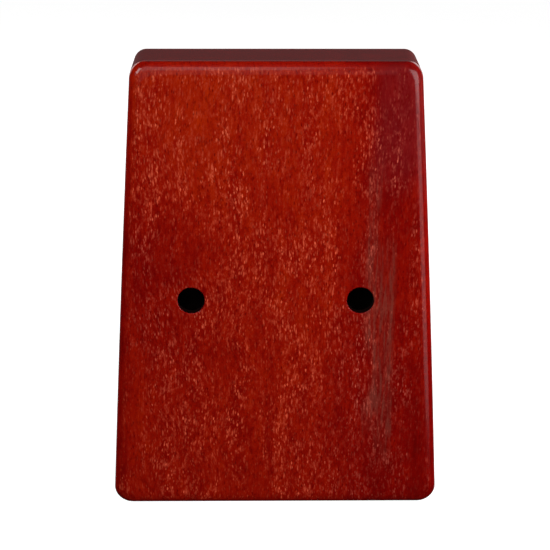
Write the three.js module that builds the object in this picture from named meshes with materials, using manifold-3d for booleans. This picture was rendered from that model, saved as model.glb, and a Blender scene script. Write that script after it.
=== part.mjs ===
// A box kalimba, an instrument of the mbira family: a hollow wooden resonator whose seventeen
// sprung steel tines are held down over two bridge rods by one clamping bar.
//
// Millimetres. +Z runs from the tail end, on which the box stands, to the head end. +Y is the
// playing side, which carries the tines, and -Y is the back, with its two finger holes. The
// player's left hand is at +X. Inside the model every Y is measured from the back's outer face,
// and the group at the end moves the whole so that the origin is under the middle of its depth.

import * as THREE from "three";
import { mergeVertices } from "three/addons/utils/BufferGeometryUtils.js";
import Module from "manifold-3d";

const wasm = await Module();
wasm.setup();

// ---------------------------------------------------------------- driving dimensions

const body = {
  length: 185,
  tailWidth: 134,
  headWidth: 111,
  depth: 32,
  cornerRadius: 6,
  edgeRadius: 3.5,
  plate: 4, // back board and soundboard
  rib: 10, // the four sides between them
};

const fingerHole = { radius: 5.4, x: 33.6, z: 89.7 };
const soundHole = { radius: 17, z: 57 };

const brace = { width: 92, height: 24, thickness: 10 };

// The tines cross the front rod, pass under the clamp bar and lie over the rear rod.
const frontRodZ = 137;
const clampZ = frontRodZ + 8;
const rearRodZ = clampZ + 7;
const rodRadius = 1.75;
const rodLength = 105;
const base = {
  length: 106,
  margin: 5.5, // from each rod's line to the wood's edge
  height: 6.3,
  valleyHeight: 3.4,
  ledge: 5, // flat wood under each rod
  slope: 1, // how far each side of the valley leans
  chamfer: 1.5,
};
const bar = { length: 106, width: 6, height: 4.5, cornerRadius: 1.2 };

const tine = {
  pitch: 5.9,
  width: 4.1,
  tipWidth: 5,
  thickness: 1.1,
  longest: 66, // from the front rod's line to the tip of the lowest note
  taperFrom: 8, // from the front rod's line to where the strip starts to widen
  tail: 8, // what every tine shows behind the rear rod
  tailGrowth: 0.12, // extra tail for each millimetre of speaking length
  tailCorner: 1,
  curl: 10, // the last stretch, which bends up for the thumb
  curlRadius: 24,
};

const screw = {
  radius: 1.5,
  length: 26,
  tipRadius: 0.6,
  tipLength: 2,
  headRadius: 3,
  headHeight: 2,
  rimHeight: 1, // the head's straight side, below its crown
  flatRadius: 1.2, // the flat on top of the crown
  slotWidth: 0.9,
  slotDepth: 0.9,
};
const screwAfterStep = [2, 6]; // a screw stands between this tine and the next, on each side
const screwGap = 1.5; // extra room between those two tines

const overrun = 1; // how far a cutter passes the faces that it cuts
const holeGap = 0.2; // round a screw in the wood or the bar
const grooveGap = 0.15; // round a rod in the bridge
const clampGap = 0.35; // over the tines under the bar, so that a stiff tine can rock
const rearGap = 0.45; // the rear rod lies this much lower, for the same reason

// ---------------------------------------------------------------- derived levels, as Y

const faceY = body.depth;
const rodAxisY = faceY + base.height;
const tineUnderY = rodAxisY + rodRadius;
const tineOverY = tineUnderY + tine.thickness;
const barUnderY = tineOverY + clampGap;
const barOverY = barUnderY + bar.height;
const overallDepth = barOverY + screw.headHeight;
const innerY = { back: body.plate, front: body.depth - body.plate };

// How many flats stand for each round surface.
const flats = {
  edge: 5,
  corner: 6,
  fingerHole: 36,
  soundHole: 64,
  rod: 24,
  screw: 20,
  crown: 3,
  tineTip: 8,
};

// ---------------------------------------------------------------- finishes

const material = (color, roughness, metalness) =>
  new THREE.MeshStandardMaterial({ color, roughness, metalness });
const redLacquer = material(0x8c160a, 0.22, 0);
const bareWood = material(0xb98a5a, 0.75, 0);
const springSteel = material(0xb9bbbd, 0.3, 1);
const chrome = material(0xd5d7da, 0.12, 1);

// ---------------------------------------------------------------- solids

// A closed geometry as a solid that can be joined and cut.
function solid(geometry) {
  const plain = geometry.clone();
  plain.deleteAttribute("normal");
  plain.deleteAttribute("uv");
  const merged = mergeVertices(plain, 1e-4);
  return new wasm.Manifold(
    new wasm.Mesh({
      numProp: 3,
      vertProperties: merged.attributes.position.array,
      triVerts: new Uint32Array(merged.index.array),
    }),
  );
}

// A finished solid as a named mesh.
function part(name, shape, finish) {
  const { numProp, numVert, vertProperties, triVerts } = shape.getMesh();
  const positions = new Float32Array(numVert * 3);
  for (let i = 0; i < numVert; i++) {
    positions.set(vertProperties.subarray(i * numProp, i * numProp + 3), i * 3);
  }
  const geometry = new THREE.BufferGeometry();
  geometry.setAttribute("position", new THREE.BufferAttribute(positions, 3));
  geometry.setIndex(new THREE.BufferAttribute(triVerts, 1));
  geometry.computeVertexNormals();
  const mesh = new THREE.Mesh(geometry, finish);
  mesh.name = name;
  return mesh;
}

const box = ([x0, x1], [y0, y1], [z0, z1]) => {
  const geometry = new THREE.BoxGeometry(x1 - x0, y1 - y0, z1 - z0);
  return solid(geometry.translate((x0 + x1) / 2, (y0 + y1) / 2, (z0 + z1) / 2));
};

// A round bar or hole through the body's depth, from y0 to y1.
const alongY = (radius, x, z, y0, y1, sides) => {
  const geometry = new THREE.CylinderGeometry(radius, radius, y1 - y0, sides);
  return solid(geometry.translate(x, (y0 + y1) / 2, z));
};

// A round bar across the body, centred on its middle.
const alongX = (radius, length, y, z, sides) => {
  const geometry = new THREE.CylinderGeometry(radius, radius, length, sides);
  return solid(geometry.rotateZ(Math.PI / 2).translate(0, y, z));
};

// An outline drawn in X and Z, given depth from y0 to y1, with a round edge where radius says so.
function slab(outline, y0, y1, curveSegments, radius = 0) {
  const geometry = new THREE.ExtrudeGeometry(outline, {
    depth: y1 - y0 - 2 * radius,
    curveSegments,
    bevelEnabled: radius > 0,
    bevelThickness: radius,
    bevelSize: radius,
    bevelOffset: -radius,
    bevelSegments: flats.edge,
  });
  return solid(geometry.rotateX(Math.PI / 2).translate(0, y1 - radius, 0));
}

// An outline drawn in Z and Y, given length along X and centred there.
function alongBridge(outline, length, curveSegments) {
  const geometry = new THREE.ExtrudeGeometry(outline, { depth: length, curveSegments, bevelEnabled: false });
  // The outline's own axes go to Z and Y, and its depth to -X, which keeps the solid right-handed.
  const turn = new THREE.Matrix4().makeBasis(
    new THREE.Vector3(0, 0, 1),
    new THREE.Vector3(0, 1, 0),
    new THREE.Vector3(-1, 0, 0),
  );
  return solid(geometry.applyMatrix4(turn).translate(length / 2, 0, 0));
}

// A polygon, wound anticlockwise, with each corner rounded to one radius.
function roundedPolygon(corners, radius) {
  const shape = new THREE.Shape();
  corners.forEach((corner, i) => {
    const before = corners.at(i - 1).clone().sub(corner).normalize();
    const after = corners[(i + 1) % corners.length].clone().sub(corner).normalize();
    const half = Math.acos(before.dot(after)) / 2;
    const centre = before.clone().add(after).normalize();
    centre.multiplyScalar(radius / Math.sin(half)).add(corner);
    const reach = radius / Math.tan(half);
    const start = corner.clone().addScaledVector(before, reach).sub(centre).angle();
    const end = corner.clone().addScaledVector(after, reach).sub(centre).angle();
    shape.absarc(centre.x, centre.y, radius, start, end, false);
  });
  shape.closePath();
  return shape;
}

const points = (...pairs) => pairs.map(([a, b]) => new THREE.Vector2(a, b));

// ---------------------------------------------------------------- the resonator

// Half the body's width at height z, measured between lines a given inset inside its outline.
function halfWidth(z, inset = 0) {
  const slope = (body.headWidth - body.tailWidth) / 2 / body.length;
  return body.tailWidth / 2 + slope * z - inset * Math.hypot(1, slope);
}

// The body's outline with its two long sides moved in.
const trapezoid = (inset) =>
  points(
    [-halfWidth(0, inset), 0],
    [halfWidth(0, inset), 0],
    [halfWidth(body.length, inset), body.length],
    [-halfWidth(body.length, inset), body.length],
  );

const outline = roundedPolygon(trapezoid(0), body.cornerRadius);
const blank = slab(outline, 0, body.depth, flats.corner, body.edgeRadius);
const wide = [-body.tailWidth, body.tailWidth];
const tall = [-overrun, body.length + overrun];

function backBoard() {
  const { radius, x, z } = fingerHole;
  let board = blank.intersect(box(wide, [-overrun, innerY.back], tall));
  for (const side of [-1, 1]) {
    board = board.subtract(alongY(radius, side * x, z, -overrun, faceY, flats.fingerHole));
  }
  return part("back_board", board, redLacquer);
}

function soundboard() {
  const board = blank.intersect(box(wide, [innerY.front, faceY + overrun], tall));
  const hole = alongY(soundHole.radius, 0, soundHole.z, 0, faceY + overrun, flats.soundHole);
  return part("soundboard", screwHoles(board.subtract(hole)), redLacquer);
}

// The head and tail ribs run the full width, and the side ribs stand between them.
function ribs() {
  const tailTop = body.rib;
  const headFoot = body.length - body.rib;
  const chamber = slab(new THREE.Shape(trapezoid(body.rib)), -overrun, faceY + overrun);
  const sides = blank.subtract(chamber);
  const rib = (name, shape, x, z) =>
    part(name, shape.intersect(box(x, [innerY.back, innerY.front], z)), redLacquer);
  return [
    rib("tail_rib", blank, wide, [-overrun, tailTop]),
    rib("head_rib", blank, wide, [headFoot, body.length + overrun]),
    rib("side_rib_left", sides, [0, wide[1]], [tailTop, headFoot]),
    rib("side_rib_right", sides, [wide[0], 0], [tailTop, headFoot]),
  ];
}

// The block glued inside the soundboard, which the clamp screws bite.
function bridgeBrace() {
  const z = [clampZ - brace.height / 2, clampZ + brace.height / 2];
  const block = box([-brace.width / 2, brace.width / 2], [innerY.front - brace.thickness, innerY.front], z);
  return part("bridge_brace", screwHoles(block), bareWood);
}

// ---------------------------------------------------------------- the bridge

// Cuts the four screw holes; their floor leaves room under the screws' ends.
function screwHoles(shape) {
  const floorY = barOverY - screw.length - holeGap;
  const radius = screw.radius + holeGap;
  return screwXs().reduce(
    (rest, x) => rest.subtract(alongY(radius, x, clampZ, floorY, overallDepth, flats.screw)),
    shape,
  );
}

// One of the two rods that the tines cross, or with some room round it the groove that it lies in.
const frontRod = (room = 0, length = rodLength) =>
  alongX(rodRadius + room, length, rodAxisY, frontRodZ, flats.rod);
const rearRod = (room = 0, length = rodLength) =>
  alongX(rodRadius + room, length, rodAxisY - rearGap, rearRodZ, flats.rod);

// A wooden base with a ledge under each rod and a valley between them, under the clamp bar.
function bridgeBase() {
  const [foot, top] = [frontRodZ - base.margin, rearRodZ + base.margin];
  const [frontLedge, rearLedge] = [frontRodZ + base.ledge / 2, rearRodZ - base.ledge / 2];
  const floorY = faceY + base.valleyHeight;
  const frontY = faceY + base.height;
  const rearY = frontY - rearGap;
  const side = new THREE.Shape(
    points(
      [foot, faceY],
      [top, faceY],
      [top, rearY - base.chamfer],
      [top - base.chamfer, rearY],
      [rearLedge, rearY],
      [rearLedge - base.slope, floorY],
      [frontLedge + base.slope, floorY],
      [frontLedge, frontY],
      [foot + base.chamfer, frontY],
      [foot, frontY - base.chamfer],
    ),
  );
  const grooveLength = base.length + 2 * overrun;
  const block = alongBridge(side, base.length)
    .subtract(frontRod(grooveGap, grooveLength))
    .subtract(rearRod(grooveGap, grooveLength));
  return part("bridge_base", screwHoles(block), redLacquer);
}

function clampBar() {
  const [foot, top] = [clampZ - bar.width / 2, clampZ + bar.width / 2];
  const corners = points([foot, barUnderY], [top, barUnderY], [top, barOverY], [foot, barOverY]);
  const side = roundedPolygon(corners, bar.cornerRadius);
  return part("clamp_bar", screwHoles(alongBridge(side, bar.length, flats.edge)), chrome);
}

// A pan-headed screw with a straight slot, driven from the playing side into the brace.
function clampScrew(name, x) {
  const crown = Array.from({ length: flats.crown + 1 }, (_, i) => {
    const angle = ((i / flats.crown) * Math.PI) / 2;
    return [
      screw.flatRadius + (screw.headRadius - screw.flatRadius) * Math.cos(angle),
      screw.rimHeight + (screw.headHeight - screw.rimHeight) * Math.sin(angle),
    ];
  });
  const profile = points(
    [0, -screw.length],
    [screw.tipRadius, -screw.length],
    [screw.radius, screw.tipLength - screw.length],
    [screw.radius, 0],
    [screw.headRadius, 0],
    ...crown,
    [0, screw.headHeight],
  );
  const slotReach = screw.headRadius + overrun;
  const slot = box(
    [-slotReach, slotReach],
    [screw.headHeight - screw.slotDepth, screw.headHeight + overrun],
    [-screw.slotWidth / 2, screw.slotWidth / 2],
  );
  const turned = solid(new THREE.LatheGeometry(profile, flats.screw));
  const mesh = part(name, turned.subtract(slot), chrome);
  mesh.position.set(x, barOverY, clampZ);
  return mesh;
}

// ---------------------------------------------------------------- the tines

const majorScale = [0, 2, 4, 5, 7, 9, 11];
const letters = ["c", "d", "e", "f", "g", "a", "b"];
const noteCount = 17;
const firstOctave = 4;

// Steps count outwards from the middle tine: positive to the player's left.
function stepX(step) {
  const gaps = screwAfterStep.filter((last) => Math.abs(step) > last).length;
  return step * tine.pitch + Math.sign(step) * gaps * screwGap;
}

function screwXs() {
  const outwards = screwAfterStep.map((last) => (stepX(last) + stepX(last + 1)) / 2);
  return outwards.flatMap((x) => [-x, x]).sort((a, b) => a - b);
}

// A bar of one thickness sounds at a pitch that goes with the inverse square of its length, so
// each semitone shortens it by the 24th root of two.
function note(index) {
  const octave = Math.floor(index / letters.length);
  const degree = index % letters.length;
  const semitones = 12 * octave + majorScale[degree];
  const side = index % 2 ? 1 : -1;
  return {
    name: `tine_${letters[degree]}${firstOctave + octave}`,
    step: side * Math.ceil(index / 2),
    speaking: tine.longest * 2 ** (-semitones / 24),
  };
}

// The side view: straight over both rods, then curling up to the tip.
function tineSide(tipZ, tailZ) {
  const curlZ = tipZ + tine.curl;
  const sweep = Math.asin(tine.curl / tine.curlRadius);
  const lower = -Math.PI / 2;
  const centreY = tineUnderY + tine.curlRadius;
  const shape = new THREE.Shape();
  shape.moveTo(tailZ, tineUnderY);
  shape.lineTo(tailZ, tineOverY);
  shape.lineTo(curlZ, tineOverY);
  shape.absarc(curlZ, centreY, tine.curlRadius - tine.thickness, lower, lower - sweep, true);
  shape.absarc(curlZ, centreY, tine.curlRadius, lower - sweep, lower, false);
  shape.closePath();
  return shape;
}

// The front view: a strip that widens to a round tip, with its tail's corners eased.
function tineFront(x, tipZ, tailZ) {
  const [half, tipHalf, ease] = [tine.width / 2, tine.tipWidth / 2, tine.tailCorner];
  const taperZ = frontRodZ - tine.taperFrom;
  const shape = new THREE.Shape();
  shape.moveTo(x - half, taperZ);
  shape.lineTo(x - tipHalf, tipZ + tine.curl);
  shape.lineTo(x - tipHalf, tipZ + tipHalf);
  shape.absarc(x, tipZ + tipHalf, tipHalf, Math.PI, 2 * Math.PI, false);
  shape.lineTo(x + tipHalf, tipZ + tine.curl);
  shape.lineTo(x + half, taperZ);
  shape.lineTo(x + half, tailZ - ease);
  shape.lineTo(x + half - ease, tailZ);
  shape.lineTo(x - half + ease, tailZ);
  shape.lineTo(x - half, tailZ - ease);
  shape.closePath();
  return shape;
}

function tinePart({ name, step, speaking }) {
  const tipZ = frontRodZ - speaking;
  const tailZ = rearRodZ + tine.tail + tine.tailGrowth * speaking;
  const x = stepX(step);
  const side = alongBridge(tineSide(tipZ, tailZ), tine.tipWidth + 2 * overrun, flats.corner);
  const front = slab(tineFront(x, tipZ, tailZ), faceY, overallDepth, flats.tineTip);
  return part(name, side.translate([x, 0, 0]).intersect(front), springSteel);
}

// ---------------------------------------------------------------- assembly

const kalimba = new THREE.Group();
kalimba.name = "kalimba";
kalimba.add(backBoard(), soundboard(), ...ribs(), bridgeBrace());
kalimba.add(bridgeBase(), clampBar());
kalimba.add(part("front_rod", frontRod(), chrome), part("rear_rod", rearRod(), chrome));
screwXs().forEach((x, i) => kalimba.add(clampScrew(`clamp_screw_${i + 1}`, x)));
for (let index = 0; index < noteCount; index++) {
  kalimba.add(tinePart(note(index)));
}
kalimba.position.y = -overallDepth / 2;

export default kalimba;
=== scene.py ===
"""A red box kalimba, an mbira with seventeen steel tines, standing on its tail end.

Metres, in the CAD model's frame: +Z from the tail end to the head end, +Y out of the playing side
that carries the tines, +X to the player's left. The back, with its two finger holes, faces -Y.
"""

import math

import bmesh
import bpy
from mathutils import Matrix, Vector


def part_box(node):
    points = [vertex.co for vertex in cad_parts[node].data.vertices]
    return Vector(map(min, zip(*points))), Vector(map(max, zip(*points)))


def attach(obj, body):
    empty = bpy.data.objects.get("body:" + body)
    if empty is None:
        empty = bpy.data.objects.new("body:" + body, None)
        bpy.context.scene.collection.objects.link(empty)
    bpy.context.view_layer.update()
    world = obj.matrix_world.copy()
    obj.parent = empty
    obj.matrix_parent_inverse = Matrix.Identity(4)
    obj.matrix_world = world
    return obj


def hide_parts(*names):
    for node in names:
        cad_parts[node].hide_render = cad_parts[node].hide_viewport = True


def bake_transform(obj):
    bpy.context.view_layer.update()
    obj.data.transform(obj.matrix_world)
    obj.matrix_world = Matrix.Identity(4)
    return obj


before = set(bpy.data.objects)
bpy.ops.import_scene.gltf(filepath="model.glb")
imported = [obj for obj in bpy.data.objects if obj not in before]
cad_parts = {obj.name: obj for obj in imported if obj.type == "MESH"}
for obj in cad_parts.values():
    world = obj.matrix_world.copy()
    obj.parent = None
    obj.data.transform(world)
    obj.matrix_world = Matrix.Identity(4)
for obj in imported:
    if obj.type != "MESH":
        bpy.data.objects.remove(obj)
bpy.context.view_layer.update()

MM = 0.001
ROOT = "sound_box"

# ---------------------------------------------------------------- dimensions, from the CAD model

LENGTH = 185 * MM
TAIL_WIDTH = 134 * MM  # before the corners are rounded
HEAD_WIDTH = 111 * MM
RIB = 10 * MM  # the ribs' thickness
FINGER_HOLE = (5.4 * MM, 33.6 * MM, 89.7 * MM)  # radius, x of one and -x of the other, z
SOUND_HOLE = (17 * MM, 0.0, 57 * MM)  # radius, x, z

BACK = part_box("back_board")
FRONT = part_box("soundboard")
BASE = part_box("bridge_base")
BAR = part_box("clamp_bar")
FRONT_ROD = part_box("front_rod")
REAR_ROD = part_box("rear_rod")


def middle(box):
    """The centre of a box, which is given as its low and high corners."""
    return (Vector(box[0]) + Vector(box[1])) / 2


# ---------------------------------------------------------------- camera, lights and stage


def add_camera():
    """The view: from behind the instrument, 18.6 degrees above the horizontal."""
    yaw, pitch, roll = 0.0139, 0.3242, 0.0029  # radians
    distance = 606 * MM
    target = Vector((-0.12 * MM, -8 * MM, 95.05 * MM))
    forward = Vector((math.sin(yaw) * math.cos(pitch), math.cos(yaw) * math.cos(pitch), -math.sin(pitch)))
    level = Vector((math.cos(yaw), -math.sin(yaw), 0))
    above = level.cross(forward)
    right = math.cos(roll) * level + math.sin(roll) * above
    up = math.cos(roll) * above - math.sin(roll) * level
    data = bpy.data.cameras.new("camera")
    data.sensor_width = 36
    data.lens = 97.74
    data.clip_start = 10 * MM
    camera = bpy.data.objects.new("camera", data)
    turned = Matrix((right, up, -forward)).transposed().to_4x4()
    camera.matrix_world = Matrix.Translation(target - forward * distance) @ turned
    bpy.context.scene.collection.objects.link(camera)
    bpy.context.scene.camera = camera


# Each light's azimuth (0 is the camera's side and 90 is to its right) and elevation in degrees, distance
# and size in metres, radiance, and whether glossy surfaces mirror it.
LIGHTS = {
    "key": (42, 11, 0.9, (0.4, 0.5), 4.5, True),
    "key_low": (43, -15, 0.9, (0.4, 0.28), 1.4, True),
    "fill": (4, 43, 0.6, (0.5, 0.4), 1.2, False),
    "top": (0, 66, 0.6, (0.4, 0.3), 0.5, False),
    "front": (-14, 32, 0.9, (0.5, 0.35), 1.4, True),
    "front_low": (-10, 10, 0.9, (0.6, 0.33), 0.4, True),
    "side": (84, 13, 0.27, (0.15, 0.15), 6.0, False),
    "left": (-44, 27, 0.9, (0.19, 0.27), 8.5, True),
    "left_side": (-112, -4, 0.8, (0.4, 0.4), 1.6, False),
    "rear_right": (138, 20, 0.9, (0.6, 0.6), 3.2, True),
    "rear_left": (222, 20, 0.9, (0.45, 0.6), 3.2, True),
    "rear_top": (180, 40, 0.9, (0.6, 0.42), 0.5, True),
    "rear_floor": (180, -30, 0.5, (1.2, 0.35), 0.7, True),
}


def add_light(name, azimuth, elevation, distance, size, radiance, gloss):
    """A soft box that faces the instrument and is equally bright all over."""
    aim = Vector((0, -8 * MM, LENGTH / 2))
    az, el = math.radians(azimuth), math.radians(elevation)
    outwards = Vector((math.sin(az) * math.cos(el), -math.cos(az) * math.cos(el), math.sin(el)))
    data = bpy.data.lights.new(name, "AREA")
    data.shape = "RECTANGLE"
    data.size, data.size_y = size
    data.energy = radiance * math.pi * size[0] * size[1]
    light = bpy.data.objects.new(name, data)
    light.location = aim + outwards * distance
    light.rotation_euler = outwards.to_track_quat("Z", "Y").to_euler()
    light.visible_camera = False
    light.visible_glossy = gloss
    bpy.context.scene.collection.objects.link(light)


def sweep_material():
    """A near-white that shows hardly any shading, so that floor and wall run into each other."""
    material = bpy.data.materials.new("pale_sweep")
    material.use_nodes = True
    shader = material.node_tree.nodes["Principled BSDF"]
    shader.inputs["Base Color"].default_value = (0.5, 0.5, 0.5, 1)
    shader.inputs["Roughness"].default_value = 0.9
    shader.inputs["Specular IOR Level"].default_value = 0.0
    shader.inputs["Emission Color"].default_value = (1, 1, 1, 1)
    shader.inputs["Emission Strength"].default_value = 0.965
    return material


def add_stage():
    """A seamless pale sweep: a floor that curves up into a wall all round, far behind the object."""
    floor_radius, curve, wall_top = 2.4, 0.8, 3.0
    sides, curve_steps = 96, 10
    bends = [math.radians(90 * i / curve_steps) for i in range(1, curve_steps + 1)]
    profile = [(floor_radius, 0.0)]
    profile += [(floor_radius + curve * math.sin(a), curve - curve * math.cos(a)) for a in bends]
    profile.append((floor_radius + curve, wall_top))
    turns = [2 * math.pi * i / sides for i in range(sides)]
    bm = bmesh.new()
    hub = bm.verts.new((0, 0, 0))
    rings = []
    for radius, z in profile:
        rings.append([bm.verts.new((radius * math.cos(t), radius * math.sin(t), z)) for t in turns])
    for i in range(sides):
        j = (i + 1) % sides
        bm.faces.new((hub, rings[0][i], rings[0][j]))
        for low, high in zip(rings, rings[1:]):
            bm.faces.new((low[i], high[i], high[j], low[j]))
    mesh = bpy.data.meshes.new("sweep")
    bm.to_mesh(mesh)
    bm.free()
    for polygon in mesh.polygons:
        polygon.use_smooth = True
    sweep = bpy.data.objects.new("sweep", mesh)
    mesh.materials.append(sweep_material())
    bpy.context.scene.collection.objects.link(sweep)
    for kind in ("visible_glossy", "visible_diffuse", "visible_shadow", "visible_transmission"):
        setattr(sweep, kind, False)


def add_world(dim, glow):
    """A dark room with a low glow on the playing side, which ends 27 to 40 degrees up."""
    world = bpy.data.worlds.new("studio")
    world.use_nodes = True
    tree = world.node_tree
    place = tree.nodes.new("ShaderNodeTexCoord").outputs["Generated"]
    axes = tree.nodes.new("ShaderNodeSeparateXYZ")
    tree.links.new(place, axes.inputs[0])

    def fade(axis, start, end, low, high):
        node = tree.nodes.new("ShaderNodeMapRange")
        for socket, value in zip(node.inputs[1:5], (start, end, low, high)):
            socket.default_value = value
        tree.links.new(axes.outputs[axis], node.inputs[0])
        return node.outputs[0]

    grey = tree.nodes.new("ShaderNodeMath")
    grey.operation = "MULTIPLY_ADD"
    tree.links.new(fade("Y", 0.0, 0.7, 0.0, glow), grey.inputs[0])
    tree.links.new(fade("Z", 0.45, 0.65, 1.0, 0.0), grey.inputs[1])
    grey.inputs[2].default_value = dim
    tree.links.new(grey.outputs[0], tree.nodes["Background"].inputs["Color"])
    bpy.context.scene.world = world


# ---------------------------------------------------------------- materials


class Graph:
    """A material's node tree, built by function calls: an input takes a socket or a plain value."""

    def __init__(self, name):
        self.material = bpy.data.materials.new(name)
        self.material.use_nodes = True
        self.tree = self.material.node_tree
        self.shader = self.tree.nodes["Principled BSDF"]

    def node(self, kind, inputs, **settings):
        node = self.tree.nodes.new("ShaderNode" + kind)
        for key, value in settings.items():
            setattr(node, key, value)
        for key, value in inputs.items():
            self.put(node.inputs[key], value)
        return node

    def put(self, socket, value):
        if isinstance(value, bpy.types.NodeSocket):
            self.tree.links.new(value, socket)
        else:
            socket.default_value = value

    def math(self, operation, a, b=0.0):
        return self.node("Math", {0: a, 1: b}, operation=operation).outputs[0]

    def product(self, first, *others):
        for other in others:
            first = self.math("MULTIPLY", first, other)
        return first

    def vary(self, value, noise, amount):
        """Adds a noise to a value, up or down by up to half the amount."""
        return self.math("ADD", self.product(self.math("SUBTRACT", noise, 0.5), amount), value)

    def split(self, vector):
        return self.node("SeparateXYZ", {0: vector}).outputs

    def shift(self, vector, by):
        return self.node("VectorMath", {0: vector, 1: by}, operation="ADD").outputs[0]

    def stretch(self, vector, x, y, z):
        return self.node("VectorMath", {0: vector, 1: (x, y, z)}, operation="MULTIPLY").outputs[0]

    def noise(self, vector, scale, detail=2.0, roughness=0.5):
        inputs = {"Vector": vector, "Scale": scale, "Detail": detail, "Roughness": roughness}
        return self.node("TexNoise", inputs).outputs["Fac"]

    def ramp(self, value, low, high, to_low=0.0, to_high=1.0, smooth=True):
        """Carries the span from low to high onto another, and holds the ends beyond it."""
        inputs = {"Value": value, "From Min": low, "From Max": high, "To Min": to_low, "To Max": to_high}
        kind = "SMOOTHSTEP" if smooth else "LINEAR"
        return self.node("MapRange", inputs, interpolation_type=kind).outputs["Result"]

    def colours(self, value, stops):
        """A colour ramp through (position, (r, g, b)) stops."""
        node = self.node("ValToRGB", {"Fac": value})
        elements = node.color_ramp.elements
        elements.remove(elements[1])
        elements[0].position = stops[0][0]
        elements[0].color = (*stops[0][1], 1)
        for position, colour in stops[1:]:
            elements.new(position).color = (*colour, 1)
        return node.outputs["Color"]

    def levels(self, value, stops):
        """A grey ramp through (position, level) stops."""
        return self.colours(value, [(position, (level,) * 3) for position, level in stops])

    def mix(self, factor, a, b, blend="MIX"):
        node = self.node("Mix", {}, data_type="RGBA", blend_type=blend)
        for index, value in ((0, factor), (6, a), (7, b)):
            if isinstance(value, tuple):
                value = (*value, 1)
            self.put(node.inputs[index], value)
        return node.outputs[2]

    def bump(self, height, strength, distance):
        inputs = {"Height": height, "Strength": strength, "Distance": distance}
        return self.node("Bump", inputs).outputs[0]

    def grain_coordinates(self, along="Z"):
        """Position and normal, turned so that X runs across the grain and Z along it."""
        outputs = self.node("TexCoord", {}).outputs
        vectors = [outputs["Object"], outputs["Normal"]]
        if along == "X":
            for i, vector in enumerate(vectors):
                axes = self.split(vector)
                vectors[i] = self.node("CombineXYZ", {0: axes[2], 1: axes[1], 2: axes[0]}).outputs[0]
        return vectors

    def finish(self, **values):
        for key, value in values.items():
            self.put(self.shader.inputs[key.replace("_", " ")], value)
        return self.material


def pores(g, vector, width, length, share, seed):
    """Short strokes along the grain, as a mask: one in each cell, kept in a share of the cells."""
    place = g.stretch(vector, 1 / width, 1 / (2 * width), 1 / length)
    place = g.shift(place, (seed, seed * 0.37, -seed))
    cells = g.node("TexVoronoi", {"Vector": place, "Scale": 1.0, "Randomness": 1.0})
    stroke = g.ramp(cells.outputs["Distance"], 0.08, 0.45, 1.0, 0.0)
    chance = g.node("SeparateColor", {0: cells.outputs["Color"]}).outputs
    kept = g.ramp(chance[0], 1 - share, 1 - share * 0.7)
    faintest = 0.15
    strength = g.math("ADD", g.product(g.math("POWER", chance[1], 1.6), 1 - faintest), faintest)
    return g.product(stroke, kept, strength)


def scatter(g, vector, scale, reach):
    """Moves a position by up to twice the reach either way, with noise of the given scale."""
    cloud = g.node("TexNoise", {"Vector": vector, "Scale": scale, "Detail": 1.0}).outputs["Color"]
    spread = (4 * reach,) * 3
    back = (-2 * reach,) * 3
    moved = g.node("VectorMath", {0: cloud, 1: spread, 2: back}, operation="MULTIPLY_ADD").outputs[0]
    return g.shift(vector, moved)


# Tones across a board, from its left edge to its right edge as the back is seen, in rows from the tail
# end to the head end: 0 is dark maroon and 1 is orange. The back has darker heartwood down one side.
# Its rows grow lighter towards the head end on the left and in the middle, which is partly painted
# light: the upper part of the back is painted as more strongly lit.
BACK_TONES_AND_TOP_LIGHT = (
    (0.41, 0.41, 0.44, 0.46, 0.46, 0.43, 0.37, 0.26, 0.21, 0.19),
    (0.29, 0.27, 0.34, 0.43, 0.48, 0.50, 0.48, 0.28, 0.34, 0.33),
    (0.54, 0.59, 0.63, 0.64, 0.62, 0.59, 0.51, 0.30, 0.24, 0.26),
)
FRONT_TONES = (
    (0.30, 0.42, 0.50, 0.38, 0.44, 0.52, 0.40, 0.30),
    (0.36, 0.46, 0.42, 0.50, 0.54, 0.44, 0.38, 0.36),
)
PLAIN_TONES = ((0.40, 0.44), (0.44, 0.38))
# The cross ribs and the bridge base are near the darkest tone; on the head rib's top face this is partly
# painted shade.
CROSS_TONES_AND_SHADE = ((0.03, 0.03), (0.03, 0.03))
TONE_HEIGHTS = (30 * MM, 165 * MM)  # of the first and last row

# Two bands along the back, each from one x to another.
HEARTWOOD = (36 * MM, 47.5 * MM)  # dusky and streaked
CLEAN_BAND = (47.5 * MM, 52.5 * MM)  # with hardly any pores


def band(g, vector, limits):
    """A band along the grain between two distances across it, softer on its near side."""
    across = g.split(vector)[0]
    low, high = limits
    near = g.ramp(across, low - 2 * MM, low + 1 * MM)
    return g.product(near, g.ramp(across, high + 0.3 * MM, high - 0.3 * MM))


def wandering_grain(g, place, across):
    """A position swayed across the grain, so that the grain wanders, most on the player's right."""
    wander = g.noise(g.stretch(place, 1, 1, 0.6), 42, 1.5)
    reach = g.ramp(across, -30 * MM, 45 * MM, 7.5 * MM, 2.2 * MM)
    sway = g.product(g.math("SUBTRACT", wander, 0.5), reach)
    return g.shift(place, g.node("CombineXYZ", {0: sway}).outputs[0])


def board_tone(g, place, across, height, tones):
    """The tone at each point of a board: rows of levels across it, blended from row to row."""
    swayed = g.vary(across, g.noise(g.stretch(place, 1, 1, 0.25), 35, 1), 30 * MM)
    share = g.ramp(swayed, -TAIL_WIDTH / 2, TAIL_WIDTH / 2, smooth=False)
    rows = []
    for row in tones:
        rows.append(g.levels(share, [(i / (len(row) - 1), level) for i, level in enumerate(row)]))
    low, high = TONE_HEIGHTS
    gap = (high - low) / (len(rows) - 1)
    tone = rows[0]
    for i, row in enumerate(rows[1:]):
        tone = g.mix(g.ramp(height, low + i * gap, low + (i + 1) * gap), tone, row)
    return tone


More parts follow.
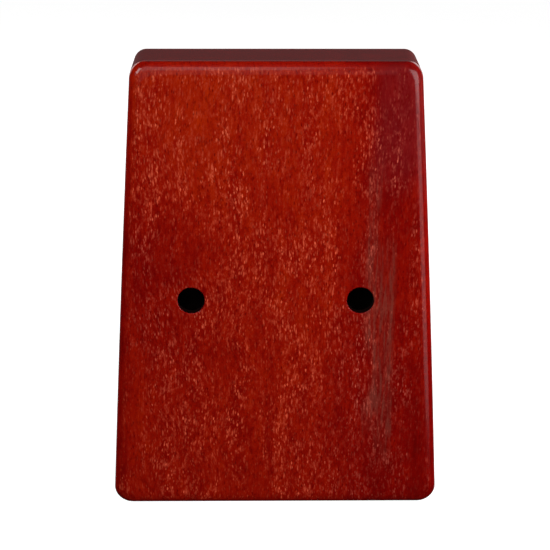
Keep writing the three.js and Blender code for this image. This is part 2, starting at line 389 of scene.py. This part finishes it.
def stained_wood(g, grain, rough_grain, tone):
    """The stain's colour on wood of the given tone, with ribbons, mottling and fibres along the grain."""
    ribbon = g.noise(g.stretch(grain, 1, 0.4, 0.1), 85, 3, 0.6)
    mottle = g.noise(g.stretch(grain, 1, 1, 0.45), 210, 3, 0.65)
    fibre = g.noise(g.stretch(rough_grain, 1, 1, 0.09), 1350, 2, 0.6)
    level = g.vary(g.vary(g.vary(tone, ribbon, 0.5), mottle, 0.6), fibre, 0.34)
    return g.colours(
        level,
        [
            (0.0, (0.150, 0.0008, 0.0008)),
            (0.25, (0.235, 0.0018, 0.0008)),
            (0.5, (0.345, 0.0066, 0.0010)),
            (0.75, (0.440, 0.0185, 0.0015)),
            (1.0, (0.560, 0.0360, 0.0030)),
        ],
    )


def dusky_streaks(g, grain, rough_grain, height):
    """Streaks in hazy patches down the heartwood, short of the head end, as a mask."""
    lines = g.ramp(g.noise(g.stretch(rough_grain, 1, 0.5, 0.08), 900, 2, 0.6), 0.4, 0.66, 0.2, 1.0)
    haze = g.ramp(g.noise(g.stretch(grain, 1, 0.5, 0.22), 95, 1.5), 0.4, 0.56)
    below_head = g.ramp(height, 155 * MM, 125 * MM, 0.0, 0.8)
    above_tail = g.ramp(height, 10 * MM, 45 * MM)
    return g.product(lines, haze, band(g, grain, HEARTWOOD), below_head, above_tail)


def pale_filler(g, grain, rough_grain, height, fleck):
    """Flecks, and pores that hold the pale filler, in loose drifts, as a mask."""
    drift = g.ramp(g.noise(g.stretch(grain, 1, 1, 0.4), 95, 2), 0.34, 0.6, 0.3, 1.1)
    ribbons = g.ramp(g.noise(g.stretch(grain, 1, 0.3, 0.07), 130, 2), 0.36, 0.52, 0.35, 1.0)
    long_pores = g.product(pores(g, rough_grain, 1.05 * MM, 4.4 * MM, 0.54, seed=3.1), 0.85)
    short_pores = pores(g, rough_grain, 0.9 * MM, 2.3 * MM, 0.53, seed=11.7)
    fine_pores = g.product(pores(g, rough_grain, 0.8 * MM, 2 * MM, 0.5, seed=27.2), 0.8)
    filler = g.ramp(fleck, 0.5, 0.8, 0.0, 0.5)
    for mask in (long_pores, short_pores, fine_pores):
        filler = g.math("MAXIMUM", filler, mask)
    clean_from, clean_to = g.ramp(height, 70 * MM, 90 * MM), g.ramp(height, 140 * MM, 125 * MM)
    clean = g.product(clean_from, clean_to, band(g, grain, CLEAN_BAND))
    return g.product(filler, ribbons, drift, g.ramp(clean, 0.0, 1.0, 1.0, 0.15, smooth=False))


def lacquered_mahogany(name, along="Z", offset=(0.0, 0.0, 0.0), tones=PLAIN_TONES, figure=1.0):
    """Red-stained mahogany under gloss lacquer, with its ribbon figure and short pale pores.

    The offset takes each board from a place of its own in the timber, and figure is 0 for plain wood.
    """
    g = Graph(name)
    place, normal = g.grain_coordinates(along)
    across, _, height = g.split(place)
    _, flatness, end_grain = g.split(normal)
    flat = g.ramp(g.math("ABSOLUTE", flatness), 0.85, 0.985, 0.08, 1.0)
    place = g.shift(place, offset)
    grain = wandering_grain(g, place, across)
    rough_grain = scatter(g, grain, 620, 0.12 * MM)
    tone = board_tone(g, place, across, height, tones)
    colour = stained_wood(g, grain, rough_grain, tone)

    # The darker wood is dusky over most of its length and crimson at the head end.
    dusk = g.product(dusky_streaks(g, grain, rough_grain, height), figure)
    colour = g.mix(dusk, colour, (0.21, 0.037, 0.025))
    crimson = g.product(g.ramp(tone, 0.4, 0.24, 0.0, 0.5), g.ramp(height, 125 * MM, 150 * MM))
    colour = g.mix(crimson, colour, (0.2, 0.011, 0.014))

    # Dark flecks and pores, then pale ones over them, whose crowding and colour go with the tone.
    fleck = g.noise(g.stretch(rough_grain, 1, 1, 0.45), 900, 2, 0.6)
    dark_pores = pores(g, rough_grain, 0.9 * MM, 2.4 * MM, 0.6, seed=41.3)
    shade = g.math("MAXIMUM", g.ramp(fleck, 0.48, 0.28, 0.0, 0.55), dark_pores)
    colour = g.mix(g.product(shade, 0.9), colour, (0.15, 0.0006, 0.0006))
    filler = g.product(pale_filler(g, grain, rough_grain, height, fleck), flat, figure)
    crowding = g.levels(tone, [(0.2, 0.35), (0.25, 1.0), (0.32, 0.6), (0.42, 0.82), (0.5, 0.95)])
    rosy, orange, pale_orange = (0.78, 0.13, 0.085), (1.0, 0.135, 0.06), (1.0, 0.175, 0.082)
    pale = g.colours(tone, [(0.25, rosy), (0.45, orange), (0.6, pale_orange)])
    colour = g.mix(g.product(filler, crowding), colour, pale)

    # Sanded edges and end grain drink more stain. The end grain's darkening is also partly painted shade,
    # which keeps the face at the head end, on top, dark though the lamps light it.
    colour = g.mix(flat, g.mix(1.0, colour, (1.0, 0.52, 0.4), "MULTIPLY"), colour)
    soaked_and_shaded = g.product(g.ramp(g.math("ABSOLUTE", end_grain), 0.84, 0.985), figure)
    colour = g.mix(soaked_and_shaded, colour, (0.45, 0.2, 0.2), "MULTIPLY")

    return g.finish(
        Base_Color=colour,
        Roughness=0.4,
        Specular_IOR_Level=0.0,
        Coat_Weight=0.6,
        Coat_Roughness=0.14,
        Coat_IOR=1.5,
        Normal=g.bump(filler, 0.04, 0.1 * MM),
    )


def raw_mahogany(name, tones, along="Z"):
    """Sawn, unlacquered mahogany in three tones from dark to light."""
    g = Graph(name)
    place, _ = g.grain_coordinates(along)
    ribbon = g.noise(g.stretch(place, 1, 0.5, 0.08), 110, 3, 0.6)
    mottle = g.noise(g.stretch(place, 1, 1, 0.3), 420, 2)
    level = g.math("ADD", g.product(ribbon, 0.8), g.product(mottle, 0.3))
    dark, middling, light = tones
    colour = g.colours(level, [(0.3, dark), (0.55, middling), (0.8, light)])
    holes = g.product(pores(g, place, 0.5 * MM, 3 * MM, 0.6, seed=5.3), 0.7)
    colour = g.mix(holes, colour, tuple(0.45 * value for value in dark))
    bump = g.bump(g.math("SUBTRACT", mottle, holes), 0.35, 0.2 * MM)
    return g.finish(Base_Color=colour, Roughness=0.78, Specular_IOR_Level=0.25, Normal=bump)


def near_black_bore(name):
    """Near-black end grain round a finger hole."""
    g = Graph(name)
    place, _ = g.grain_coordinates()
    speck = g.noise(place, 1800, 3, 0.7)
    colour = g.colours(speck, [(0.3, (0.004, 0.001, 0.001)), (0.75, (0.016, 0.004, 0.003))])
    bump = g.bump(speck, 0.3, 0.1 * MM)
    return g.finish(Base_Color=colour, Roughness=0.6, Specular_IOR_Level=0.2, Normal=bump)


def brushed_steel(name):
    """Spring steel brushed along its length, a little duller where thumbs and air have been."""
    g = Graph(name)
    place, _ = g.grain_coordinates()
    brush = g.noise(g.stretch(place, 1, 1, 0.02), 5200, 2, 0.6)
    cloud = g.noise(g.stretch(place, 1, 1, 0.5), 140, 3, 0.6)
    colour = g.mix(g.ramp(cloud, 0.3, 0.75), (0.66, 0.665, 0.67), (0.56, 0.55, 0.53))
    brushed = g.ramp(brush, 0.3, 0.7, 0.2, 0.32, smooth=False)
    handled = g.ramp(cloud, 0.35, 0.7, 0.0, 0.07, smooth=False)
    rough = g.math("ADD", brushed, handled)
    bump = g.bump(brush, 0.12, 0.03 * MM)
    return g.finish(Base_Color=colour, Metallic=1.0, Roughness=rough, Normal=bump)


def polished_steel(name):
    """Nickel plate, with the faint swirl of handling."""
    g = Graph(name)
    place, _ = g.grain_coordinates("X")
    cloud = g.noise(place, 260, 4, 0.6)
    scratch = g.noise(g.stretch(place, 1, 1, 0.05), 3800, 2, 0.7)
    colour = g.mix(g.ramp(cloud, 0.35, 0.7), (0.78, 0.785, 0.8), (0.7, 0.69, 0.68))
    handled = g.ramp(cloud, 0.3, 0.75, 0.07, 0.13, smooth=False)
    scratched = g.ramp(scratch, 0.55, 0.75, 0.0, 0.08, smooth=False)
    rough = g.math("ADD", handled, scratched)
    bump = g.bump(scratch, 0.04, 0.03 * MM)
    return g.finish(Base_Color=colour, Metallic=1.0, Roughness=rough, Normal=bump)


# ---------------------------------------------------------------- mesh tools


def ring_faces(bm, low, high):
    for i in range(len(low)):
        j = (i + 1) % len(low)
        bm.faces.new((low[i], low[j], high[j], high[i]))


def loft(bm, rings):
    """Joins rings of points, each with the same count, and returns the first and last vertex rings."""
    made = [[bm.verts.new(point) for point in ring] for ring in rings]
    for low, high in zip(made, made[1:]):
        ring_faces(bm, low, high)
    return made[0], made[-1]


def closed_loft(bm, rings):
    for end in loft(bm, rings):
        bm.faces.new(end)


def fill(bm, loops):
    """Fills the flat area inside the first loop and outside the others."""
    edges = []
    for loop in loops:
        for i, vert in enumerate(loop):
            edges.append(bm.edges.get((vert, loop[(i + 1) % len(loop)])))
    return bmesh.ops.triangle_fill(bm, use_beauty=True, edges=edges)["geom"]


def make_piece(name, bm, materials, nodes, body=ROOT, sharp=38, inside=None):
    """Turns a mesh into a piece. Faces that look towards the point inside take the second material."""
    bmesh.ops.recalc_face_normals(bm, faces=bm.faces)
    mesh = bpy.data.meshes.new(name)
    bm.to_mesh(mesh)
    bm.free()
    for polygon in mesh.polygons:
        polygon.use_smooth = True
        if inside and polygon.normal.dot(inside - polygon.center) > 0:
            polygon.material_index = 1
    mesh.set_sharp_from_angle(angle=math.radians(sharp))
    for material in materials:
        mesh.materials.append(material)
    piece = bpy.data.objects.new(name, mesh)
    bpy.context.scene.collection.objects.link(piece)
    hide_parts(*nodes)
    if body:
        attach(piece, body)
    return piece


def circle(radius, x, z, y, count):
    turns = [2 * math.pi * i / count for i in range(count)]
    return [(x + radius * math.cos(t), y, z + radius * math.sin(t)) for t in turns]


def arc(centre, radius, start, end, count):
    """Points from one angle to another, count steps apart."""
    turns = [start + (end - start) * i / count for i in range(count + 1)]
    return [(centre[0] + radius * math.cos(t), centre[1] + radius * math.sin(t)) for t in turns]


def rounded(corners, radius, count):
    """A convex polygon of 2-D points with each corner rounded, anticlockwise as given."""
    path = []
    for i, corner in enumerate(corners):
        here = Vector(corner)
        before = (Vector(corners[i - 1]) - here).normalized()
        after = (Vector(corners[(i + 1) % len(corners)]) - here).normalized()
        half = before.angle(after) / 2
        centre = here + (before + after).normalized() * radius / math.sin(half)
        start = here + before * radius / math.tan(half) - centre
        end = here + after * radius / math.tan(half) - centre
        first = math.atan2(start.y, start.x)
        turn = (math.atan2(end.y, end.x) - first) % (2 * math.pi)
        path += arc(centre, radius, first, first + turn, count)
    return path


# ---------------------------------------------------------------- the sound box

CORNER = 5 * MM  # the four corners' radius at the soundboard's face
BACK_CORNER = 8.6 * MM  # and at the back face, where they are sanded rounder
CORNER_POWER = 6  # most of that growth is close to the back face
CORNER_STEPS = 20
BOW = 0.36 * MM  # how far the long sides swell at their middle
BOW_STEPS = 16

EDGE_ACROSS = 5.4 * MM  # how far the rounding reaches over the face
EDGE_DOWN = 3.5 * MM  # and down the side
EDGE_STEPS = 18
EDGE_POWER = 2.25  # a little fuller than a circle's quarter, as hand sanding leaves it
EDGE_MARGIN = 0.15 * MM  # a flat strip beyond the rounding, so that the face shades as flat
SEAM = 0.09 * MM


def half_width(z, inset=0.0):
    """Half the box's width at one height, moved in at right angles to its slanting side."""
    slope = (HEAD_WIDTH - TAIL_WIDTH) / 2 / LENGTH
    return TAIL_WIDTH / 2 + slope * z - inset * math.hypot(1, slope)


def bowed(path):
    """Divides an outline's long sides and swells them a little, as sanding leaves them."""
    points = []
    for i, (x, z) in enumerate(path):
        next_x, next_z = path[(i + 1) % len(path)]
        steps = BOW_STEPS if abs(next_z - z) > LENGTH / 2 else 1
        for step in range(steps):
            share = step / steps
            points.append((x + (next_x - x) * share, z + (next_z - z) * share))
    return [(x * (1 + BOW * 4 * (z / LENGTH) * (1 - z / LENGTH) / half_width(z)), z) for x, z in points]


def corner_radius(y, inset=0.0):
    """The corners' radius at one depth. An outline that is moved in has tighter corners."""
    share = (FRONT[1][1] - y) / (FRONT[1][1] - BACK[0][1])
    return CORNER + (BACK_CORNER - CORNER) * share**CORNER_POWER - 0.5 * inset


def body_corners(inset=0.0):
    low, high = inset, LENGTH - inset
    return [
        (-half_width(low, inset), low),
        (half_width(low, inset), low),
        (half_width(high, inset), high),
        (-half_width(high, inset), high),
    ]


def body_outline(inset, y):
    """The box's outline as a ring of points at one depth, moved in by inset."""
    path = rounded(body_corners(inset), corner_radius(y, inset), CORNER_STEPS)
    return [(x, y, z) for x, z in bowed(path)]


def edge_profile():
    """(inset, depth below the face) from the side to the face."""
    steps = []
    for i in range(EDGE_STEPS + 1):
        turn = math.pi / 2 * i / EDGE_STEPS
        inset = EDGE_ACROSS * (1 - max(0.0, math.cos(turn)) ** (2 / EDGE_POWER))
        steps.append((inset, EDGE_DOWN * (1 - math.sin(turn) ** (2 / EDGE_POWER))))
    return steps


def hole_rings(radius, x, z, rounding, inner_y, outer_y, count):
    """A hole's rings of points from the inner face to the outer one, where its rim is rounded."""
    steps, margin = 6, 0.1 * MM
    down = rounding * math.copysign(1, outer_y - inner_y)
    rings = [circle(radius, x, z, inner_y, count)]
    for i in range(steps + 1):
        turn = math.pi / 2 * i / steps
        wide = radius + rounding * (1 - math.cos(turn))
        rings.append(circle(wide, x, z, outer_y - down * (1 - math.sin(turn)), count))
    rings.append(circle(radius + rounding + margin, x, z, outer_y, count))
    return rings


def add_board(name, node, inner_y, outer_y, holes, materials):
    """One board of the box. A hole is (radius, x, z, rounding, wall material)."""
    outwards = math.copysign(1, outer_y - inner_y)
    rings = [body_outline(SEAM, inner_y), body_outline(0, inner_y + outwards * SEAM)]
    for inset, depth in edge_profile():
        rings.append(body_outline(inset, outer_y - outwards * depth))
    rings.append(body_outline(EDGE_ACROSS + EDGE_MARGIN, outer_y))
    bm = bmesh.new()
    inner, outer = loft(bm, rings)
    inner_loops, outer_loops = [inner], [outer]
    for radius, x, z, rounding, wall in holes:
        count = 96 if radius > 10 * MM else 64
        start = len(bm.faces)
        inside, outside = loft(bm, hole_rings(radius, x, z, rounding, inner_y, outer_y, count))
        bm.faces.ensure_lookup_table()
        for face in bm.faces[start : start + count]:
            face.material_index = wall
        inner_loops.append(inside)
        outer_loops.append(outside)
    fill(bm, outer_loops)
    for item in fill(bm, inner_loops):
        if isinstance(item, bmesh.types.BMFace):
            item.material_index = 1
    return make_piece(name, bm, materials, [node])


def bevelled_prism(name, node, ends, materials, bevel, steps=2, inside=None):
    """A prism between two rings of points, with its edges broken."""
    broken_from = math.radians(28)  # the angle between two faces above which their edge is broken
    bm = bmesh.new()
    first, last = loft(bm, ends)
    bm.faces.new(first)
    bm.faces.new(list(reversed(last)))
    bmesh.ops.recalc_face_normals(bm, faces=bm.faces)
    sharp = [edge for edge in bm.edges if edge.calc_face_angle(0) > broken_from]
    bmesh.ops.bevel(
        bm, geom=sharp, offset=bevel, segments=steps, profile=0.5, affect="EDGES", clamp_overlap=True
    )
    piece = make_piece(name, bm, materials, [node], inside=inside)
    # The broad faces shade as flat, and the broken edges turn from one to the next.
    piece.modifiers.new("weighted_normals", "WEIGHTED_NORMAL").keep_sharp = True
    return piece


def rib_outlines(y):
    """The four ribs' outlines at one depth. The side ribs stand between the two end ribs."""
    top = LENGTH - RIB
    around = rounded(body_corners(), corner_radius(y), CORNER_STEPS)
    half = len(around) // 2
    outlines = {
        "tail_rib": around[:half] + [(half_width(RIB), RIB), (-half_width(RIB), RIB)],
        "head_rib": around[half:] + [(-half_width(top), top), (half_width(top), top)],
    }
    for side, sign in (("left", 1), ("right", -1)):
        outlines[f"side_rib_{side}"] = [
            (sign * half_width(RIB), RIB),
            (sign * half_width(top), top),
            (sign * half_width(top, RIB), top),
            (sign * half_width(RIB, RIB), RIB),
        ]
    return {node: [(x, y, z) for x, z in bowed(outline)] for node, outline in outlines.items()}


def add_ribs(long_grain, cross_grain, inner):
    """The four ribs, whose faces towards the chamber take the inner material."""
    low, high = BACK[1][1], FRONT[0][1]
    chamber = Vector((0, (low + high) / 2, LENGTH / 2))
    near, far = rib_outlines(low), rib_outlines(high)
    for node in near:
        materials = [long_grain if node.startswith("side") else cross_grain, inner]
        ends = (near[node], far[node])
        bevelled_prism(node + "_fine", node, ends, materials, SEAM, inside=chamber)


# ---------------------------------------------------------------- the bridge


def across_bridge(outline, box):
    """A side view's (z, y) points as a ring at each end of a box."""
    return [[(end[0], y, z) for z, y in outline] for end in box]


def add_bridge_base(material):
    """Wood with a rounded ledge under each rod and a valley between them."""
    foot, top = BASE[0][2], BASE[1][2]
    floor, front_y = BASE[0][1], BASE[1][1]
    front, rear = middle(FRONT_ROD), middle(REAR_ROD)
    clearance = 0.04 * MM
    radius = (FRONT_ROD[1][2] - FRONT_ROD[0][2]) / 2 + clearance
    ledge, valley, slope, ease = 2.5 * MM, floor + 3.4 * MM, 1 * MM, 1.5 * MM
    ease_steps, groove_steps = 8, 16
    outline = [(foot, floor), (top, floor)]
    outline += arc((top - ease, rear.y - ease), ease, 0, math.pi / 2, ease_steps)
    outline += arc((rear.z, rear.y), radius, 0, -math.pi, groove_steps)
    outline += [
        (rear.z - ledge, rear.y),
        (rear.z - ledge - slope, valley),
        (front.z + ledge + slope, valley),
        (front.z + ledge, front_y),
    ]
    outline += arc((front.z, front_y), radius, 0, -math.pi, groove_steps)
    outline += arc((foot + ease, front_y - ease), ease, math.pi / 2, math.pi, ease_steps)
    ends = across_bridge(outline, BASE)
    bevelled_prism("bridge_base_fine", "bridge_base", ends, [material], 0.25 * MM, 3)


def add_clamp_bar(material, underside):
    """A plated bar whose underside bulges down to the tines."""
    low_z, high_z, top_y = BAR[0][2], BAR[1][2], BAR[1][1]
    centre, half = (low_z + high_z) / 2, (high_z - low_z) / 2
    deep, ease = 1.1 * MM, 1.3 * MM
    bulge_steps, ease_steps = 14, 8
    bulge = (half**2 + deep**2) / (2 * deep)
    down, spread = -math.pi / 2, math.asin(half / bulge)
    outline = arc((centre, underside + bulge), bulge, down - spread, down + spread, bulge_steps)
    outline += arc((high_z - ease, top_y - ease), ease, 0, math.pi / 2, ease_steps)
    outline += arc((low_z + ease, top_y - ease), ease, math.pi / 2, math.pi, ease_steps)
    ends = across_bridge(outline, BAR)
    bevelled_prism("clamp_bar_fine", "clamp_bar", ends, [material], 0.5 * MM, 4)


def lathe(bm, profile, place, count):
    """Turns (radius, height) points about an axis. place puts (a, b, height) in space."""
    turns = [2 * math.pi * i / count for i in range(count)]
    closed_loft(bm, [[place(r * math.cos(t), r * math.sin(t), h) for t in turns] for r, h in profile])


def add_rod(node, material):
    """A steel rod along X with rounded ends."""
    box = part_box(node)
    centre = middle(box)
    radius = (box[1][2] - box[0][2]) / 2
    ease, steps = 0.45 * MM, 5
    end = []
    for i in range(steps + 1):
        turn = math.pi / 2 * i / steps
        end.append((radius - ease * (1 - math.sin(turn)), ease * (1 - math.cos(turn))))
    low, high = box[0][0], box[1][0]
    profile = [(r, low + h) for r, h in end] + [(r, high - h) for r, h in reversed(end)]
    bm = bmesh.new()
    lathe(bm, profile, lambda a, b, h: (h, centre.y + a, centre.z + b), 48)
    make_piece(node + "_fine", bm, [material], [node])


def add_screw_head(bm, place, radius, height):
    """A crown with a straight slot, which is a sunk strip between two half crowns."""
    half_slot, deep, ease = 0.45 * MM, 0.9 * MM, 0.12 * MM
    rim, crown_steps, tip = 0.45 * height, 9, 0.02 * MM
    crown = [(radius - ease, 0), (radius, ease), (radius, rim)]
    for i in range(1, crown_steps):
        turn = math.pi / 2 * i / crown_steps
        crown.append((radius * math.cos(turn) ** 0.8, rim + (height - rim) * math.sin(turn)))
    crown.append((tip, height))
    lathe(bm, crown, place, 40)
    for side in (-1, 1):
        everything = bm.faces[:] + bm.edges[:] + bm.verts[:]
        cut = place(0, side * half_slot, 0)
        bmesh.ops.bisect_plane(bm, geom=everything, plane_co=cut, plane_no=(0, 0, 1))
    _, floor, centre = place(0, 0, height - deep)
    for vert in bm.verts:
        inside = abs(vert.co.z - centre) < half_slot - 1e-6
        if inside and vert.co.y > floor:
            vert.co.y = floor


def add_screw_shank(bm, place, length):
    """A shank that ends in a blunt point, whose thread is one true helix."""
    radius, pitch, groove = 1.5 * MM, 0.7 * MM, 0.22 * MM
    point_length, point_radius = 2 * MM, 0.5 * MM
    rows_per_turn, sides = 8, 24
    threaded = length - point_length
    rows = int(threaded / pitch * rows_per_turn)
    angles = [2 * math.pi * i / sides for i in range(sides)]
    rings = []
    for row in range(rows + 1):
        depth = threaded * row / rows
        ring = []
        for i, angle in enumerate(angles):
            phase = (depth / pitch - i / sides) % 1
            r = radius - groove * abs(2 * phase - 1)
            ring.append(place(r * math.cos(angle), r * math.sin(angle), -depth))
        rings.append(ring)
    rings.append([place(point_radius * math.cos(a), point_radius * math.sin(a), -length) for a in angles])
    closed_loft(bm, rings)


def add_screw(node, material):
    """A pan-headed screw whose head sits on the clamp bar."""
    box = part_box(node)
    centre = middle(box)
    seat = BAR[1][1]

    def place(a, b, height):
        return (centre.x + a, seat + height, centre.z + b)

    bm = bmesh.new()
    add_screw_head(bm, place, (box[1][0] - box[0][0]) / 2, box[1][1] - seat)
    add_screw_shank(bm, place, seat - box[0][1])
    make_piece(node + "_fine", bm, [material], [node], sharp=50)


# ---------------------------------------------------------------- the tines

TINE_HALF = 2.05 * MM  # half the width of the leaf
TIP_HALF = 2.5 * MM  # and of its broader tip
CURL = 10 * MM  # the length that curls up at the tip
CURL_RADIUS = 24 * MM
TAPER_FROM = 8 * MM  # how far from the front rod the leaf begins to broaden
THICKNESS = 1.1 * MM
EASE = 0.28 * MM  # the rounding along a tine's edges


def tine_under(z, seat_y, front_z, bar_z, rear_z):
    """How high a sprung tine's underside lies: over both rods, and bowed down between them by the bar."""
    lift, at_bar, at_rear = -0.0556, -0.035, 0.010  # slopes at the front rod, the bar and the rear rod
    bar_level = (lift + at_bar) / 2 * (bar_z - front_z)
    rear_level = bar_level + (at_bar + at_rear) / 2 * (rear_z - bar_z)
    if z < front_z:
        fade = 7.5 * MM
        return seat_y - lift * fade * (1 - math.exp((z - front_z) / fade))
    if z < bar_z:
        run = z - front_z
        return seat_y + lift * run + (at_bar - lift) * run**2 / (2 * (bar_z - front_z))
    if z < rear_z:
        run = z - bar_z
        return seat_y + bar_level + at_bar * run + (at_rear - at_bar) * run**2 / (2 * (rear_z - bar_z))
    return seat_y + rear_level + at_rear * (z - rear_z)


def tine_stations(tip_z, tail_z, front_z):
    """(z, half width) from the tail, whose corners are cut off, to the round tip."""
    cut, held_gap, free_gap = 1.1 * MM, 1.2 * MM, 2.5 * MM
    cut_steps, curl_steps, tip_steps, tip_turn = 6, 8, 12, math.radians(84)
    start = tail_z - cut
    taper_z, curl_z, round_z = front_z - TAPER_FROM, tip_z + CURL, tip_z + TIP_HALF
    stations = []
    for i in range(cut_steps + 1):
        out = cut * (1 - math.sin(math.pi / 2 * i / cut_steps))
        stations.append((start + out, TINE_HALF - out))
    count = max(4, int((tail_z - taper_z) / held_gap))
    stations += [(start + (taper_z - start) * i / count, TINE_HALF) for i in range(1, count + 1)]
    count = max(4, int((taper_z - curl_z) / free_gap))
    for i in range(1, count + 1):
        share = i / count
        broader = TINE_HALF + (TIP_HALF - TINE_HALF) * share
        stations.append((taper_z + (curl_z - taper_z) * share, broader))
    for i in range(1, curl_steps + 1):
        stations.append((curl_z + (round_z - curl_z) * i / curl_steps, TIP_HALF))
    for i in range(1, tip_steps + 1):
        turn = tip_turn * i / tip_steps
        stations.append((round_z - TIP_HALF * math.sin(turn), TIP_HALF * math.cos(turn)))
    return stations


def tine_half_thickness(z, tip_z, tail_z):
    """Half a tine's thickness: it thins towards its tip, and both its ends are rounded."""
    thin_tip, thinning = 0.78, 9 * MM
    nose, blunt_tip, blunt_tail = 0.35 * MM, 0.15, 0.3
    from_tip, from_tail = z - tip_z, tail_z - z
    half = THICKNESS / 2 * min(1.0, thin_tip + (1 - thin_tip) * from_tip / thinning)
    if from_tip < nose:
        half *= math.sqrt(max(blunt_tip, 1 - (1 - from_tip / nose) ** 2))
    if from_tail < nose:
        half *= math.sqrt(max(blunt_tail, 1 - (1 - from_tail / nose) ** 2))
    return half


def add_tine(node, material, rests):
    """One leaf, which is held at the bridge and bends from there towards its tip."""
    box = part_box(node)
    x, tip_z, tail_z = (box[0][0] + box[1][0]) / 2, box[0][2], box[1][2]
    seat_y, front_z, _, _ = rests
    curl_z = tip_z + CURL

    def centre_y(z):
        y = tine_under(z, *rests) + THICKNESS / 2
        if z < curl_z:
            y += CURL_RADIUS - math.sqrt(CURL_RADIUS**2 - (curl_z - z) ** 2)
        return y

    rings = []
    step = 0.01 * MM
    for z, half in tine_stations(tip_z, tail_z, front_z):
        thick = tine_half_thickness(z, tip_z, tail_z)
        slope = (centre_y(z + step) - centre_y(z - step)) / (2 * step)
        centre, normal = Vector((x, centre_y(z), z)), Vector((0, 1, -slope)).normalized()
        corners = [(-half, -thick), (half, -thick), (half, thick), (-half, thick)]
        section = rounded(corners, min(EASE, 0.85 * thick, 0.85 * half), 4)
        rings.append([centre + Vector((a, 0, 0)) + normal * b for a, b in section])
    bm = bmesh.new()
    closed_loft(bm, rings)
    piece = make_piece(node + "_leaf", bm, [material], [node], body=None, sharp=50)
    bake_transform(piece)


# ---------------------------------------------------------------- assembly

add_camera()
add_stage()
add_world(dim=0.009, glow=0.1)
for light_name, light_settings in LIGHTS.items():
    add_light(light_name, *light_settings)
bpy.context.scene.view_settings.view_transform = "Standard"

lacquer_back = lacquered_mahogany("mahogany_back", tones=BACK_TONES_AND_TOP_LIGHT)
lacquer_front = lacquered_mahogany("mahogany_soundboard", "Z", (0.31, 0.2, 0.44), FRONT_TONES, figure=0.8)
lacquer_side = lacquered_mahogany("mahogany_side_rib", offset=(0.02, 0.7, 0.15), figure=0.6)
lacquer_cross = lacquered_mahogany("mahogany_cross_rib", "X", (0.9, 0.05, 0.3), CROSS_TONES_AND_SHADE, figure=0.15)
bare_tones = ((0.17, 0.075, 0.038), (0.27, 0.135, 0.072), (0.36, 0.2, 0.11))
bare_wood = raw_mahogany("bare_mahogany", bare_tones, "X")
# The inside of the chamber is all but black: painted shade for the dark inside the closed box.
chamber_shade_tones = ((0.010, 0.004, 0.003), (0.016, 0.007, 0.004), (0.024, 0.011, 0.007))
chamber_shade_wood = raw_mahogany("mahogany_painted_chamber_shade", chamber_shade_tones)
bore = near_black_bore("bore_near_black")
steel = brushed_steel("tine_brushed_steel")
nickel = polished_steel("bright_nickel")

# A hole's last value is the place of its wall's material in the board's list.
finger_radius, finger_x, finger_z = FINGER_HOLE
finger_holes = [(finger_radius, side * finger_x, finger_z, 0.35 * MM, 2) for side in (-1, 1)]
back_materials = [lacquer_back, chamber_shade_wood, bore]
add_board("back_board_fine", "back_board", BACK[1][1], BACK[0][1], finger_holes, back_materials)
front_holes = [(*SOUND_HOLE, 0.7 * MM, 0)]
screw_nodes = [f"clamp_screw_{i}" for i in range(1, 5)]
for screw_node in screw_nodes:
    axis = middle(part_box(screw_node))
    front_holes.append((1.7 * MM, axis.x, axis.z, 0.05 * MM, 1))
front_materials = [lacquer_front, chamber_shade_wood]
add_board("soundboard_fine", "soundboard", FRONT[0][1], FRONT[1][1], front_holes, front_materials)
add_ribs(lacquer_side, lacquer_cross, chamber_shade_wood)
add_bridge_base(lacquer_cross)
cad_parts["bridge_brace"].material_slots[0].material = bare_wood

# Where a tine rests: the height of the front rod's top, and the z of the front rod, bar and rear rod.
bar_z = middle(BAR).z
rests = (FRONT_ROD[1][1], middle(FRONT_ROD).z, bar_z, middle(REAR_ROD).z)
add_clamp_bar(nickel, tine_under(bar_z, *rests) + THICKNESS)
add_rod("front_rod", nickel)
add_rod("rear_rod", nickel)
for screw_node in screw_nodes:
    add_screw(screw_node, nickel)
for tine_node in sorted(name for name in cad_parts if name.startswith("tine_")):
    add_tine(tine_node, steel, rests)
